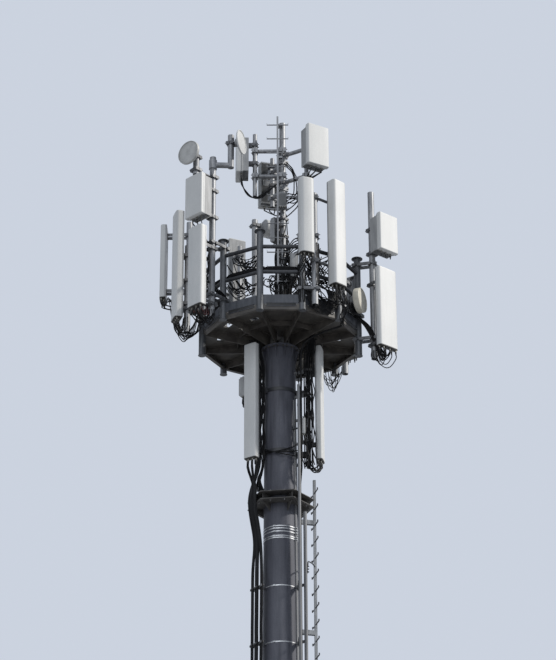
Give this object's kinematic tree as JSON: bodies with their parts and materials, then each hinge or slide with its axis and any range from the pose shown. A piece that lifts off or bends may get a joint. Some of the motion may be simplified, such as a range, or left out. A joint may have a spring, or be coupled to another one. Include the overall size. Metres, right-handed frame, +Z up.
{
  "type": "cell tower",
  "caption": "Tapered tubular cell tower with a railed antenna deck, central mast, panel and box antennas, link dishes, climbing ladder and feeder cables.",
  "frame": {"origin": "middle of the underside of the base plate, at ground level", "axes": "+Z up along the pole, -Y towards the side seen in the picture, +X to the right of that side"},
  "size_m": [4.3146, 3.795, 25.4602],
  "materials": {
    "pole_paint": "satin",
    "deck_steel": "satin",
    "galvanised_steel": "matte",
    "bracket_steel": "satin",
    "antenna_cover": "matte",
    "dish_cover": "matte",
    "radio_case": "satin",
    "cable_jacket": "matte",
    "conduit": "matte"
  },
  "bodies": {
    "root": {"base_plate": "pole_paint", "base_ribs": "pole_paint", "pole_lower": "pole_paint", "pole_middle": "pole_paint", "pole_upper": "pole_paint", "joint_flanges": "pole_paint", "pole_collar": "pole_paint", "strap_bands": "galvanised_steel", "climbing_ladder": "galvanised_steel", "climbing_rungs": "galvanised_steel", "ladder_brackets": "galvanised_steel", "head_flange": "pole_paint", "deck_beams": "deck_steel", "inner_ring": "deck_steel", "deck_rim": "deck_steel", "deck_floor": "deck_steel", "toe_boards": "deck_steel", "guard_posts": "galvanised_steel", "post_caps": "galvanised_steel", "top_rail": "deck_steel", "middle_rail": "deck_steel", "central_mast": "galvanised_steel", "mast_ladder": "galvanised_steel", "mast_rungs": "galvanised_steel", "mast_arms": "galvanised_steel", "mast_pipes": "galvanised_steel", "left_pipes": "galvanised_steel", "right_pipes": "galvanised_steel", "rear_pipes": "galvanised_steel", "pipe_clamps": "bracket_steel", "dish_boom": "galvanised_steel", "low_clamps": "pole_paint", "left_panels": "antenna_cover", "right_panels": "antenna_cover", "rear_panels": "antenna_cover", "low_panels": "antenna_cover", "left_box_antenna": "antenna_cover", "right_box_antenna": "antenna_cover", "mast_box_antennas": "antenna_cover", "link_dishes": "dish_cover", "radio_units": "radio_case", "antenna_brackets": "bracket_steel", "left_feeders": "cable_jacket", "right_conduits": "conduit", "right_feeders": "cable_jacket", "feeder_clips": "galvanised_steel", "jumper_cables": "cable_jacket"}
  },
  "joints": []
}
